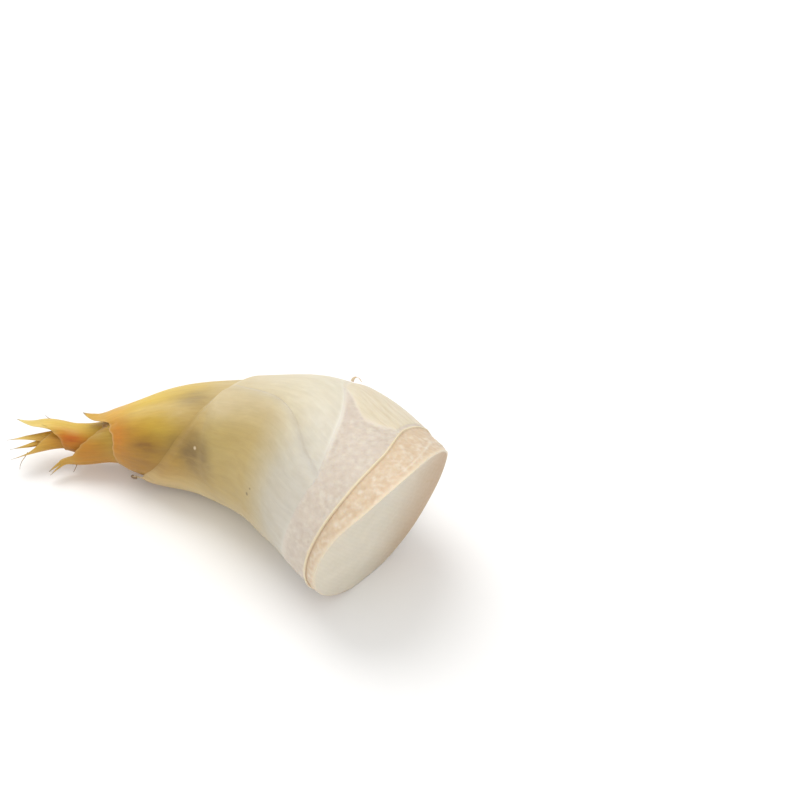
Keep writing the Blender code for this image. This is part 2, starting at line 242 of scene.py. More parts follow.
def root_shine(degrees):
    """How pale the root line of sheath_1 is: bright beside the crown, fainter low on the front."""
    turned = (degrees + 180.0) % 360.0 - 180.0
    return np.exp(-(((turned - 28.0) / 26.0) ** 2)) + 0.55 * np.exp(-(((turned - 125.0) / 32.0) ** 2))


def ring_root(index):
    """Root of an inner sheath: a plain ring round the shoot."""
    return lambda degrees: np.full_like(degrees, ROOT_S[index] + ROOT_GAP)


def mouth_2(v):
    """Mouth of the second sheath: a rise under its blade, and a small ear on either side."""
    rise = 8.0 * np.exp(-((v / 36.0) ** 2))
    back = 2.5 * smooth((np.abs(v) - 65.0) / 50.0)
    ears = np.exp(-(((v - 54.0) / 8.0) ** 2)) + np.exp(-(((v + 58.0) / 8.0) ** 2))
    return 168.0 + rise + back + 1.6 * ears


# How each sheath wraps: where it starts, how far round it goes, its root and mouth, the flare of its
# lip, the degrees its outer margin sinks over, the pull of its lip inwards, and its mouth's wall.
LAYERS = [
    dict(
        centre=170.0, start=lambda w: -109.0 - 31.0 * w**0.8, span=lambda w: 374.0 - 8.0 * w,
        root=lambda a: ring(BASE_RING, a) - 0.3,
        mouth=lambda v: 161.0 - 0.33 * np.minimum(np.abs(v), 138.0), flare=0.0, lap=12.0, draw=1.0,
        hem=0.03,
    ),
    dict(
        centre=20.0, start=lambda w: -176.0, span=lambda w: 370.0 - 6.0 * w,
        root=ring_root(1), mouth=mouth_2, flare=0.0, lap=8.0, draw=0.6, hem=0.12,
    ),
    dict(
        centre=172.0, start=lambda w: -178.0, span=lambda w: 368.0 - 6.0 * w,
        root=ring_root(2), flare=3.0, lap=8.0, draw=0.55, hem=0.12,
        mouth=lambda v: 190.5 - 11.5 * (np.minimum(np.abs(v), 116.0) / 100.0) ** 1.8,
    ),
    dict(
        centre=8.0, start=lambda w: -178.0, span=lambda w: 366.0 - 6.0 * w,
        root=ring_root(3), flare=3.6, lap=8.0, draw=0.5, hem=0.12,
        mouth=lambda v: 195.0 + 10.0 * np.exp(-((v / 62.0) ** 2)),
    ),
]


def wrap_depth(index, v, w):
    """Depth of a sheath's outer skin, at turn v and share w of the way from root to mouth."""
    layer = LAYERS[index]
    first, span = layer["start"](w), layer["span"](w)
    turn = (v - first) / 360.0
    over = np.maximum(0.0, span - 360.0)
    hug = smooth((w - 0.55) / 0.45)
    drawn = hug * smooth((v - first - over - 6.0) / 40.0) * smooth((first + 372.0 - v) / 40.0)
    out = DEPTH[index] + WRAP_STEP * (turn + (1 - turn) * drawn * 0.9)
    out = out - layer["flare"] * smooth((w - 0.84) / 0.16) * np.exp(-((v / 75.0) ** 2))
    flush = 1.03 - (MARGIN_WALL + 0.08) * smooth((w - 0.25) / 0.6)
    return out + flush * (1 - smooth((v - first) / layer["lap"]))


def skin_depth(index, s, degrees):
    """Depth of the layer that lies under the mouth of the sheath outside it."""
    if index > 3:
        return DEPTH[4] + 0 * s
    layer = LAYERS[index]
    first = layer["start"](1.0)
    v = first + (degrees - layer["centre"] - first) % 360.0
    root = layer["root"](degrees)
    return wrap_depth(index, v, np.clip((s - root) / (layer["mouth"](v) - root), 0.0, 1.0))


# ---------------------------------------------------------------- mesh helpers

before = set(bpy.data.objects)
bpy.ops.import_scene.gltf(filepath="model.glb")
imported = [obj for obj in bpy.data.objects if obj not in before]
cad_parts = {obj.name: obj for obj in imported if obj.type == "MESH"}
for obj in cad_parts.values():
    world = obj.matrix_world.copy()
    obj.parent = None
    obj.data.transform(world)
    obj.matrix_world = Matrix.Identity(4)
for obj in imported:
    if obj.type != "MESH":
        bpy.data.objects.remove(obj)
CAD_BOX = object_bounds()
LOW = np.array(CAD_BOX[0]) + 2e-5
HIGH = np.array(CAD_BOX[1]) - 2e-5


def make_object(name, points, faces, material, values, node=None):
    """Mesh object in metres inside the CAD box, with its growth coordinates as attributes."""
    mesh = bpy.data.meshes.new(name)
    world = np.clip(np.asarray(points) * MM, LOW, HIGH)
    mesh.from_pydata(world.tolist(), [], faces)
    mesh.validate()
    mesh.polygons.foreach_set("use_smooth", [True] * len(mesh.polygons))
    for key, data in values.items():
        data = np.asarray(data, np.float32)
        kind = "FLOAT_VECTOR" if data.ndim == 2 else "FLOAT"
        field = "vector" if data.ndim == 2 else "value"
        mesh.attributes.new(key, kind, "POINT").data.foreach_set(field, data.ravel())
    made = bpy.data.objects.new(name, mesh)
    bpy.context.scene.collection.objects.link(made)
    mesh.materials.append(material)
    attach(made, "root")
    if node:
        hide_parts(node)


def growth(s, degrees):
    """Straightened position, so fibres run along the shoot and gather at its tip."""
    a = np.radians(degrees)
    return np.stack([GROWTH_RADIUS * np.cos(a), GROWTH_RADIUS * np.sin(a), s], -1)


def patch(s, degrees, at, size, seed=0):
    """Soft-edged patch round the place at, with a wandering outline, for blotches and for one painted
    shadow.
    """
    away = (degrees - at[1] + 180.0) % 360.0 - 180.0
    reach = ((s - at[0]) / size[0]) ** 2 + (away / size[1]) ** 2
    wander = 0.45 * waves(s, degrees, 40 + seed, around=(3, 14), along=0.35)
    return np.clip(np.exp(-reach * (1 + 0.5 * wander)) * (1 + 0.25 * wander), 0, 1)


# ---------------------------------------------------------------- materials


class Graph:
    """Small helper for building one Principled material."""

    def __init__(self, name, rough=0.45, soft=0.12, reach=0.004):
        self.material = bpy.data.materials.new(name)
        self.material.use_nodes = True
        self.tree = self.material.node_tree
        self.shader = self.tree.nodes["Principled BSDF"]
        self.shader.inputs["Roughness"].default_value = rough
        self.shader.inputs["Specular IOR Level"].default_value = 0.35
        self.shader.inputs["Subsurface Weight"].default_value = soft
        self.shader.inputs["Subsurface Radius"].default_value = (1.0, 0.62, 0.3)
        self.shader.inputs["Subsurface Scale"].default_value = reach

    def node(self, kind, out, settings=None, **values):
        made = self.tree.nodes.new("ShaderNode" + kind)
        for key, value in (settings or {}).items():
            setattr(made, key, value)
        for key, value in values.items():
            socket = made.inputs[int(key[1:])] if key[0] == "_" else made.inputs[key]
            if isinstance(value, bpy.types.NodeSocket):
                self.tree.links.new(value, socket)
            else:
                socket.default_value = value
        return made.outputs[out]

    def field(self, name, out="Fac"):
        return self.node("Attribute", out, {"attribute_name": name})

    def mix(self, factor, a, b, how="MIX"):
        return self.node("Mix", 2, {"data_type": "RGBA", "blend_type": how}, _0=factor, _6=a, _7=b)

    def times(self, a, b):
        return self.node("Math", 0, {"operation": "MULTIPLY", "use_clamp": True}, _0=a, _1=b)

    def ramp(self, factor, stops):
        made = self.tree.nodes.new("ShaderNodeValToRGB")
        self.tree.links.new(factor, made.inputs[0])
        bar = made.color_ramp
        while len(bar.elements) < len(stops):
            bar.elements.new(0.5)
        for element, (at, colour) in zip(bar.elements, stops):
            element.position = at
            element.color = colour if hasattr(colour, "__len__") else (colour,) * 3 + (1.0,)
        return made.outputs[0]

    def noise(self, scale, stretch=(1.0, 1.0, 1.0), detail=3.0, rough=0.55, warp=0.0):
        vector = self.node(
            "VectorMath", 0, {"operation": "MULTIPLY"}, _0=self.field("grow", "Vector"), _1=stretch
        )
        return self.node(
            "TexNoise", 0, Vector=vector, Scale=scale, Detail=detail, Roughness=rough,
            Distortion=warp,
        )

    def speck(self, base, at, radius, colour, strength=0.8):
        """A small mark at one place on the skin (position in millimetres)."""
        where = self.node("TexCoord", "Object")
        gap = self.node(
            "VectorMath", "Value", {"operation": "DISTANCE"}, _0=where, _1=tuple(x * MM for x in at)
        )
        near = self.node(
            "MapRange", 0, Value=gap, _1=radius * MM * 0.4, _2=radius * MM, _3=strength, _4=0.0
        )
        return self.mix(near, base, colour)

    def done(self, colour, height, distance, strength=0.5, rough=None):
        self.tree.links.new(colour, self.shader.inputs["Base Color"])
        bump = self.node("Bump", 0, Strength=strength, Distance=distance * MM, Height=height)
        self.tree.links.new(bump, self.shader.inputs["Normal"])
        if rough:
            self.tree.links.new(rough, self.shader.inputs["Roughness"])
        return self.material


def stops(table):
    """Ramp stops from (millimetres along the shoot, sRGB colour) pairs."""
    return [(s / RAMP_LENGTH, srgb(*colour)) for s, colour in table]


def sheath_material(
    name, front, crown, belly, stains_and_shade, marks=(), margin=(226, 203, 156), streaks=0.28
):
    """Veined sheath: ramps along its front, crown and belly, then its blotches, grain and marks; the
    crown ramp is the paler top colour with a painted highlight from above, and one blotch on sheath_3
    is partly painted shadow.
    """
    g = Graph(name)
    along = g.field("along")
    base = g.ramp(along, stops(front))
    # The crown ramp mixes the paler top colour with a painted highlight where light from above falls.
    base = g.mix(g.field("crown"), base, g.ramp(along, stops(crown)))
    base = g.mix(g.field("belly"), base, g.ramp(along, stops(belly)))
    cloud = g.ramp(g.noise(0.11, (1, 1, 0.45), 5.0, 0.62, 0.6), [(0.28, 0.35), (0.62, 1.0)])
    # Blotches of colour; the first on sheath_3 is partly painted shadow under the blade of sheath_2.
    for index, (_, _, _, colour) in enumerate(stains_and_shade):
        amount = g.times(g.field(f"stain_and_shade_{index}"), cloud)
        base = g.mix(amount, base, srgb(*colour))
    fibre = g.noise(0.85, (1, 1, 0.035), 4.0, 0.6)
    vein = g.noise(2.6, (1, 1, 0.012), 2.0, 0.5)
    mottle = g.noise(0.32, (1, 1, 0.5), 4.0, 0.6)
    streak = g.ramp(g.noise(0.3, (1, 1, 0.25), 5.0, 0.62, 0.5), [(0.36, 0.0), (0.7, 1.0)])
    base = g.mix(g.times(streak, streaks), base, g.mix(1.0, base, srgb(212, 190, 150), "MULTIPLY"))
    base = g.mix(0.22, base, g.ramp(fibre, [(0.3, 0.86), (0.72, 1.05)]), "MULTIPLY")
    base = g.mix(0.15, base, g.ramp(vein, [(0.35, 0.86), (0.65, 1.05)]), "MULTIPLY")
    base = g.mix(0.4, base, g.ramp(mottle, [(0.3, 0.88), (0.7, 1.05)]), "MULTIPLY")
    base = g.mix(g.field("edge"), base, srgb(*margin))
    base = g.mix(g.field("point"), base, srgb(146, 132, 110))
    for at, radius, colour, strength in marks:
        base = g.speck(base, at, radius, srgb(*colour), strength)
    rough = g.ramp(mottle, [(0.3, 0.38), (0.7, 0.55)])
    height = g.node("Math", 0, {"operation": "ADD"}, _0=g.times(fibre, 0.7), _1=g.times(vein, 0.5))
    return g.done(base, height, 0.16, 0.3, rough)


def core_material():
    """Flesh: two bands of root buds, the ridge between them, the tongue and the cut face."""
    g = Graph("core", rough=0.5, soft=0.2, reach=0.005)
    grain = g.noise(0.55, (1, 1, 0.8), 5.0, 0.6)
    fine = g.noise(2.4, (1, 1, 1), 3.0, 0.6)
    broad = g.noise(0.16, (1, 1, 1), 3.0, 0.55, 0.4)
    band_b = g.mix(g.ramp(grain, [(0.34, 0.0), (0.66, 1.0)]), srgb(206, 191, 175), srgb(226, 216, 200))
    band_b = g.mix(g.ramp(broad, [(0.35, 0.0), (0.65, 0.6)]), band_b, srgb(212, 196, 180))
    band_b = g.mix(g.times(g.field("bud"), 0.5), band_b, srgb(238, 231, 217))
    band_a = g.mix(g.ramp(grain, [(0.35, 0.0), (0.66, 1.0)]), srgb(213, 185, 153), srgb(225, 204, 175))
    band_a = g.mix(g.ramp(broad, [(0.38, 0.0), (0.62, 0.5)]), band_a, srgb(216, 190, 157))
    band_a = g.mix(g.times(g.field("bud"), 0.28), band_a, srgb(242, 228, 205))
    cloud = g.times(g.field("cloudy"), g.ramp(grain, [(0.34, 0.15), (0.62, 1.0)]))
    band_a = g.mix(cloud, band_a, srgb(236, 224, 205))
    base = g.mix(g.field("low_band"), band_b, band_a)
    silk = g.ramp(g.noise(0.7, (1, 1, 0.1), 5.0, 0.65, 0.3), [(0.32, 0.0), (0.68, 1.0)])
    base = g.mix(g.field("lobe"), base, g.mix(silk, srgb(218, 203, 172), srgb(235, 224, 200)))
    base = g.mix(g.field("lobe_edge"), base, srgb(243, 234, 217))
    base = g.mix(g.field("ridge"), base, srgb(241, 226, 190))
    shade = g.ramp(g.noise(0.09, (1, 1, 1), 3.0), [(0.3, 0.0), (0.7, 1.0)])
    flesh = g.mix(shade, srgb(221, 212, 192), srgb(229, 220, 201))
    # Painted shade: the cut face darkens to a warm brown towards one side.
    flesh = g.mix(g.field("face_painted_shade"), flesh, srgb(191, 157, 119))
    knife = g.node(
        "TexWave", "Fac", {"bands_direction": "DIAGONAL"}, Scale=210.0, Distortion=3.0,
        Detail=2.0, _0=g.node("TexCoord", "Object")
    )
    flesh = g.mix(0.12, flesh, g.ramp(knife, [(0.2, 0.86), (0.8, 1.04)]), "MULTIPLY")
    base = g.mix(g.field("face"), base, flesh)
    base = g.mix(g.field("rim"), base, srgb(241, 226, 201))
    base = g.mix(0.2, base, g.ramp(fine, [(0.3, 0.88), (0.7, 1.05)]), "MULTIPLY")
    height = g.mix(g.field("face"), g.mix(0.4, grain, fine), g.times(knife, 0.4))
    return g.done(base, height, 0.2, 0.25, g.ramp(grain, [(0.3, 0.42), (0.7, 0.6)]))


# ---------------------------------------------------------------- core


# Across the thin ridge: millimetres from its crest, share of its height, share of its colour.
RIDGE_PROFILE = [
    (-0.6, -0.45, 0.0),
    (-0.45, -0.15, 0.2),
    (-0.32, 0.35, 0.6),
    (-0.18, 0.85, 0.95),
    (0.0, 1.0, 1.0),
    (0.18, 0.85, 0.9),
    (0.38, 0.45, 0.55),
    (0.65, 0.05, 0.2),
    (1.1, -0.2, 0.05),
    (1.8, -0.38, 0.0),
]


def core_rows(degrees):
    """(s, depth, fields) rows from the cut rim to the point hidden in the sheaths."""
    cut = cut_s(degrees)
    width = ring(BAND_WIDTH, degrees)
    ridge = cut + width
    base = ring(BASE_RING, degrees)
    zero = np.zeros_like(cut)
    rows = []

    def add(s, depth, **fields):
        rows.append((s, depth, {k: zero + v for k, v in fields.items()}))

    add(cut - 0.02, zero + 0.55, rim=0.6, face=0.4)
    add(cut + 0.12, zero + 0.25, rim=1.0, low_band=1.0)
    for t in np.linspace(0.03, 0.95, 44):
        s = cut + t * width
        near_ridge = smooth((ridge - 0.4 - s) / 1.6)
        near_cut = smooth((s - cut) / 1.6)
        bud = np.maximum(
            buds(s, degrees, 3.1, 58, 3), 0.8 * buds(s, degrees + 3.0, 2.2, 88, 8, 0.3, 0.8)
        )
        uneven = 0.16 * waves(s, degrees, 12, around=(6, 26), along=0.9)
        turned = (degrees + 180) % 360 - 180
        fold = np.exp(-(((t - 0.25 - 0.05 * waves(s, degrees, 9)) / 0.04) ** 2))
        fold = fold * smooth((42.0 - np.abs(turned)) / 20.0)
        depth = 0.3 - near_ridge * near_cut * (0.3 * bud + uneven + 0.3 * fold)
        cloudy = smooth(
            0.5 + 0.5 * waves(s, degrees, 91, 26, (20, 70), 2.6) - 1.3 * abs(t - 0.4)
        )
        add(
            s, depth, bud=bud * near_ridge, low_band=1.0, cloudy=0.75 * cloudy * near_ridge,
            rim=0.8 * smooth(1 - (s - cut) / 2.2), lobe_edge=0.35 * fold,
        )
    crest = 0.36 + 0.1 * np.sin(np.radians(5 * degrees)) + 0.07 * np.sin(np.radians(11 * degrees))
    crest = crest + 0.05 * waves(ridge, degrees, 21, around=(8, 30))
    for off, rise, line in RIDGE_PROFILE:
        add(ridge + off, -crest * rise, ridge=0.85 * line, low_band=smooth(-off * 2.2))
    start = ridge + 2.0
    v = -109.0 + (degrees - 170.0 + 109.0) % 360.0
    first_wrap = wrap_depth(0, v, 0.0)
    for t in np.linspace(0.02, 0.985, 56):
        s = start + t * (base - start)
        lobe = lobe_share(degrees, t) * smooth((1.02 - t) / 0.1)
        rim = np.clip(4 * lobe * (1 - lobe), 0, 1)
        bud = buds(s, degrees, 3.6, 54, 15, 0.25, 0.8) * smooth((base - s) / 4.0)
        uneven = 0.1 * waves(s, degrees, 27, around=(5, 22), along=0.7)
        pleat = 0.06 * waves(s * 0.2, degrees, 33, around=(16, 40), along=0.3)
        depth = 0.2 - (1 - lobe) * (0.22 * bud + uneven * smooth((base - s) / 5.0) + pleat)
        depth = depth - 0.4 * lobe - 0.06 * rim
        meet = smooth((s - base + 6.0) / 6.0)
        near = root_shine(degrees) * smooth((s - base + 2.5) / 2.5)
        add(
            s, depth * (1 - meet) + (first_wrap - 0.03) * meet, bud=0.55 * bud * (1 - lobe),
            lobe=lobe, lobe_edge=np.maximum(0.35 * rim, 0.75 * near),
        )
    shine = 0.75 * root_shine(degrees)
    for off in (0.0, 0.3, 0.55, 0.58):
        add(base + off, first_wrap - 0.03 * (1 - off), lobe_edge=shine, lobe=lobe_share(degrees, 1.0))
    add(base + 0.6, first_wrap + 1.0)
    for s in (78.0, 90.0, 105.0, 125.0, 150.0, 172.0, 181.0):
        add(np.maximum(base + 0.1, s), zero + 2.0 + 9.4 * smooth((s - 76.0) / 105.0))
    return rows


def build_core():
    """The flesh: rings of the cut face outwards, then rings along the shoot to its hidden point."""
    degrees = np.arange(CORE_COLUMNS) * 360.0 / CORE_COLUMNS
    rows = core_rows(degrees)
    rings = [place(s, degrees, depth) for s, depth, _ in rows]
    rim = rings[0]
    middle = rim.mean(axis=0)
    proud = ((rim - CUT_POINT) @ CUT_NORMAL)[:, None]
    shares = [0.0] + list(np.linspace(0.06, 0.985, 26))
    points, fields = [], []
    for share in shares:
        spot = middle + share * (rim - middle)
        flat = spot - ((spot - CUT_POINT) @ CUT_NORMAL)[:, None] * CUT_NORMAL
        ripple = 0.12 * np.sin(5 * share + 2 * np.radians(degrees)) * (share < 0.9)
        spot = flat + (proud * share**5 + np.asarray(ripple)[:, None]) * CUT_NORMAL
        # Share of painted shade on the cut face, growing towards the rim near 288 degrees.
        face_shade_share = smooth((share * np.cos(np.radians(degrees - 288.0)) + 0.3) / 1.2)
        data = {"face": 1.0 + 0 * degrees, "face_painted_shade": 0.9 * face_shade_share}
        if share == 0.0:
            spot = spot[:1]
            data = {k: v[:1] for k, v in data.items()}
        points.append(spot)
        fields.append((0 * data["face"] + 20, degrees[: len(spot)], data))
    for loop, (s, _, data) in zip(rings, rows):
        points.append(loop)
        fields.append((s, degrees, data))
    n = CORE_COLUMNS
    faces = [(0, 1 + j, 1 + (j + 1) % n) for j in range(n)]
    loops = len(points) - 1
    for i in range(loops - 1):
        first = 1 + i * n
        for j in range(n):
            k = (j + 1) % n
            faces.append((first + j, first + n + j, first + n + k, first + k))
    end = 1 + (loops - 1) * n
    tip = rings[-1].mean(axis=0, keepdims=True)
    points.append(tip)
    fields.append((np.array([181.0]), np.array([0.0]), {}))
    faces += [(end + j, end + n, end + (j + 1) % n) for j in range(n)]
    s = np.concatenate([f[0] for f in fields])
    turned = np.concatenate([f[1] for f in fields])
    values = {"grow": growth(s, turned)}
    world = np.concatenate(points)
    count = 1 + (len(shares) - 1) * n
    values["grow"][:count] = world[:count]
    names = ("bud", "low_band", "cloudy", "lobe", "lobe_edge", "ridge", "face", "face_painted_shade", "rim")
    for name in names:
        values[name] = np.concatenate([f[2].get(name, 0 * f[0]) for f in fields])
    make_object("shoot_core", world, faces, core_material(), values, "core")


# ---------------------------------------------------------------- sheaths


class Shell:
    """Outer and inner skin of one sheath, closed along every free edge, with its fields."""

    def __init__(self):
        self.outer, self.inner, self.data = [], [], []
        self.quads = []
        self.count = 0

    def add_row(self, outer, inner, s, degrees, edge, point):
        first = self.count
        self.count += len(outer)
        self.outer.append(outer)
        self.inner.append(inner)
        blank = np.zeros(len(outer))
        self.data.append(np.stack([s + blank, degrees + blank, edge + blank, point + blank]))
        return list(range(first, self.count))

    def join(self, low, high):
        self.quads += list(zip(low[:-1], low[1:], high[1:], high[:-1]))

    def build(self, name, node, stains_and_shade, material):
        n = self.count
        faces = [(a, d, c, b) for a, b, c, d in self.quads]
        faces += [(a + n, b + n, c + n, d + n) for a, b, c, d in self.quads]
        edges = set()
        for a, b, c, d in self.quads:
            edges.update(((a, b), (b, c), (c, d), (d, a)))
        faces += [(a, b, b + n, a + n) for a, b in edges if (b, a) not in edges]
        s, degrees, edge, point = np.tile(np.concatenate(self.data, axis=1), 2)
        turned = (degrees + 180.0) % 360.0 - 180.0
        values = {
            "grow": growth(s, degrees),
            "along": s / RAMP_LENGTH,
            # Share of the crown ramp: the paler top colour with its painted highlight from above.
            "crown": smooth(1.25 + 0.22 * smooth((s - 100) / 22) - np.abs(turned) / 62.0) * 0.95,
            "belly": smooth((np.abs(turned) - 112.0) / 55.0) * 0.9,
            "edge": edge,
            "point": point,
        }
        # Masks of the blotches, the first on sheath_3 partly painted shadow.
        for index, (at, size, amount, _) in enumerate(stains_and_shade):
            values[f"stain_and_shade_{index}"] = amount * patch(s, degrees, at, size, index)
        points = np.concatenate(self.outer + self.inner)
        make_object(name, points, faces, material, values, node)


def sheath_shell(index, columns, rows, blades, ragged=0.2):
    """One culm sheath: a wrapped sheet from its root to its mouth, with blades on the mouth."""
    layer = LAYERS[index]
    centre, mouth, root = layer["centre"], layer["mouth"], layer["root"]
    shell = Shell()
    depth = DEPTH[index]
    previous = None
    for i in range(rows + 1):
        w = 1 - (1 - i / rows) ** 1.25
        first, span = layer["start"](w), layer["span"](w)
        v = first + span * np.linspace(0, 1, columns + 1)
        degrees = centre + v
        torn = ragged * waves(0 * v, v, 60 + index, around=(4, 22)) * w**6
        s = root(degrees) * (1 - w) + (mouth(v) + torn) * w
        grown = np.zeros_like(v)
        for blade in blades:
            wide = blade["half"] * 360.0 / columns
            grown = np.maximum(grown, smooth((wide + 4.0 - np.abs(v - blade["at"])) / 5.0))
        from_mouth = mouth(v) + torn - s
        out = wrap_depth(index, v, w)
        below = skin_depth(index + 1, s, degrees)
        stand = np.exp(-((v / 75.0) ** 2)) if layer["flare"] else 0.0
        lip = layer["draw"] * (1 - smooth(from_mouth / 6.0)) * (1 - stand) * (1 - 0.7 * grown)
        out = out + lip * np.maximum(below - 0.02 - layer["hem"] - out, 0.0)
        side = np.minimum(v - first, first + span - v)
        margin = smooth(np.minimum(side / 8.0, from_mouth / 3.0))
        least = np.minimum(layer["hem"], MARGIN_WALL * (0.3 + 0.7 * smooth(w / 0.7)))
        thick = least + (WALL - least) * margin
        thick = np.clip(below - 0.03 - out, least, thick)
        outer = place(s, degrees, out, depth)
        inner = place(s, degrees, out + thick, depth + thick)
        lip_pale = (0.0, 0.32, 0.14, 0.14)[index]
        pale = lip_pale * (1 - smooth(from_mouth / 1.6)) * (1 - grown)
        pale = np.maximum(pale, 0.3 * (1 - smooth(side / 2.2)) * smooth((w - 0.15) / 0.4))
        shine = root_shine(degrees) if index == 0 else 0.35
        pale = np.maximum(pale, shine * (w < 0.4) * (1 - smooth((s - root(degrees)) / 3.0)))
        row = shell.add_row(outer, inner, s, degrees, pale, 0.0)
        if previous:
            shell.join(previous, row)
        previous = row
    for blade in blades:
        add_blade(shell, previous, v, s, out, centre, **blade)
    return shell


def blade_wall(u, across):
    """Thickness of a blade, thin at its root, its edges and its point."""
    return MARGIN_WALL + (BLADE_WALL - MARGIN_WALL) * (1 - u) * (1 - across**4) * min(1, 4 * u)


def add_prong(shell, low, stage, side, v_mid, spread, s0, depth0, blade, centre):
    """One run of a forked blade from row low to its point; side is -1 or 1."""
    across = np.linspace(-1, 1, len(low))
    for k in range(1, blade["steps"] + 1):
        t = k / blade["steps"]
        u = stage + (1 - stage) * t
        width = max((1 - t) ** blade["belly"], 0.01)
        tip_s = s0 + blade["length"] * u
        rise = blade["lift"] * u**1.7
        local = envelope(np.array(tip_s), np.array(centre + v_mid)) - depth0
        half = max(spread * width, np.degrees(POINT_HALF / (local + rise)))
        middle = v_mid + blade["turn"] * u**1.3 + side * (spread + (blade["part"] - spread) * t)
        depths = depth0 - rise - 0.35 * across**2 * width * min(1, 2 * u)
        rows_s = tip_s - 0.5 * width * (1 - u) * across**2
        degrees = centre + middle + across * half
        outer = place(rows_s, degrees, depths)
        inner = place(rows_s, degrees, depths + blade_wall(u, across))
        pale = 0.35 * np.abs(across) ** 3 * (1 - u)
        point = smooth((u - blade["dark"]) / (1 - blade["dark"]))
        high = shell.add_row(outer, inner, rows_s, degrees, pale, point)
        shell.join(low, high)
        low = high


def add_blade(
    shell, row, v, s, out, centre, at, half, length, lift, turn, steps, belly, fork=0.0, part=0.0,
    dark=0.78,
):
    """A pointed blade grown from the mouth columns nearest the angle at; fork splits it in two."""
    blade = dict(length=length, lift=lift, turn=turn, steps=steps, belly=belly, part=part, dark=dark)
    middle = int(np.argmin(np.abs(v - at)))
    pick = slice(middle - half, middle + half + 1)
    base_v, base_s, base_depth = v[pick], s[pick], out[pick]
    across = np.linspace(-1, 1, 2 * half + 1)
    low = row[pick]
    span = 0.5 * (base_v[-1] - base_v[0])
    stem = 14 if fork else steps
    for k in range(1, stem + 1):
        u = fork * k / stem if fork else k / steps
        narrow = 1 - 0.45 * u / fork if fork else (1 - u) ** belly
        width = max(narrow * (1 - 0.12 * np.sin(np.pi * min(1, 2 * u))), 0.004)
        tip_s = base_s[half] + length * u
        rise = lift * u**1.7
        local = envelope(np.array(tip_s), np.array(centre + at)) - base_depth[half]
        spread = max(span * width, np.degrees(POINT_HALF / (local + rise)))
        degrees = centre + at + turn * u**1.3 + across * spread
        back = (1 - u) ** 2 * (base_s - base_s[half])
        rows_s = tip_s + back - 0.5 * width * (1 - u) * across**2
        depths = base_depth * (1 - u) + base_depth[half] * u - rise
        curl = 0.35 * across**2 * width * min(1, 2 * u)
        outer = place(rows_s, degrees, depths - curl)
        inner = place(rows_s, degrees, depths - curl + blade_wall(u, across))
        pale = 0.35 * np.abs(across) ** 3 * (1 - u) * min(1, 5 * u)
        high = shell.add_row(outer, inner, rows_s, degrees, pale, smooth((u - dark) / (1 - dark)))
        shell.join(low, high)
        low = high
    if fork:
        for side, pieces in ((-1, low[: half + 1]), (1, low[half:])):
            add_prong(
                shell, pieces, fork, side, at, spread / 2, base_s[half], base_depth[half], blade, centre
            )


def leaf_shell(index, centre, tip, shoulder, half_angle, lift, sway, columns, rows):
    """An inner leaf with no clear mouth: it narrows evenly to its point."""
    shell = Shell()
    depth = DEPTH[index]
    previous = None
    start = ROOT_S[index] + LEAF_ROOT_GAP
    across = np.linspace(-1, 1, columns + 1)
    for i in range(rows + 1):
        w = i / rows
        s = start + (tip - start) * (1 - (1 - w) ** 1.25)
        u = max(0.0, (s - shoulder) / (tip - shoulder))
        rise = lift * u**1.6
        radius = float(envelope(np.array(s), np.array(centre))) - depth + rise
        spread = max(half_angle * (1 - u) ** 1.7, np.degrees(LEAF_POINT_HALF / radius))
        degrees = centre + sway * u + across * spread
        back = 1.2 * across**2 * min(1.0, 4 * u) * (1 - u)
        rows_s = s - back
        out = depth - rise + 0 * across
        thick = MARGIN_WALL + 0.4 * (1 - u) * (1 - across**6)
        outer = place(rows_s, degrees, out)
        inner = place(rows_s, degrees, out + thick)
        pale = 0.5 * smooth((np.abs(across) - 0.9) / 0.1) * (1 - u)
        row = shell.add_row(outer, inner, rows_s, degrees, pale, smooth((u - 0.78) / 0.22))
        if previous:
            shell.join(previous, row)
        previous = row
    return shell


def on_skin(s, degrees, depth=0.0):
    """One point at a depth under the envelope."""
    return place(np.array([float(s)]), np.array([float(degrees)]), np.array([float(depth)]))[0]


def on_sheath_1(s, degrees):
    """One point on the outer skin of the first sheath."""
    depth = skin_depth(0, np.array([float(s)]), np.array([float(degrees)]))[0]
    return on_skin(s, degrees, depth)


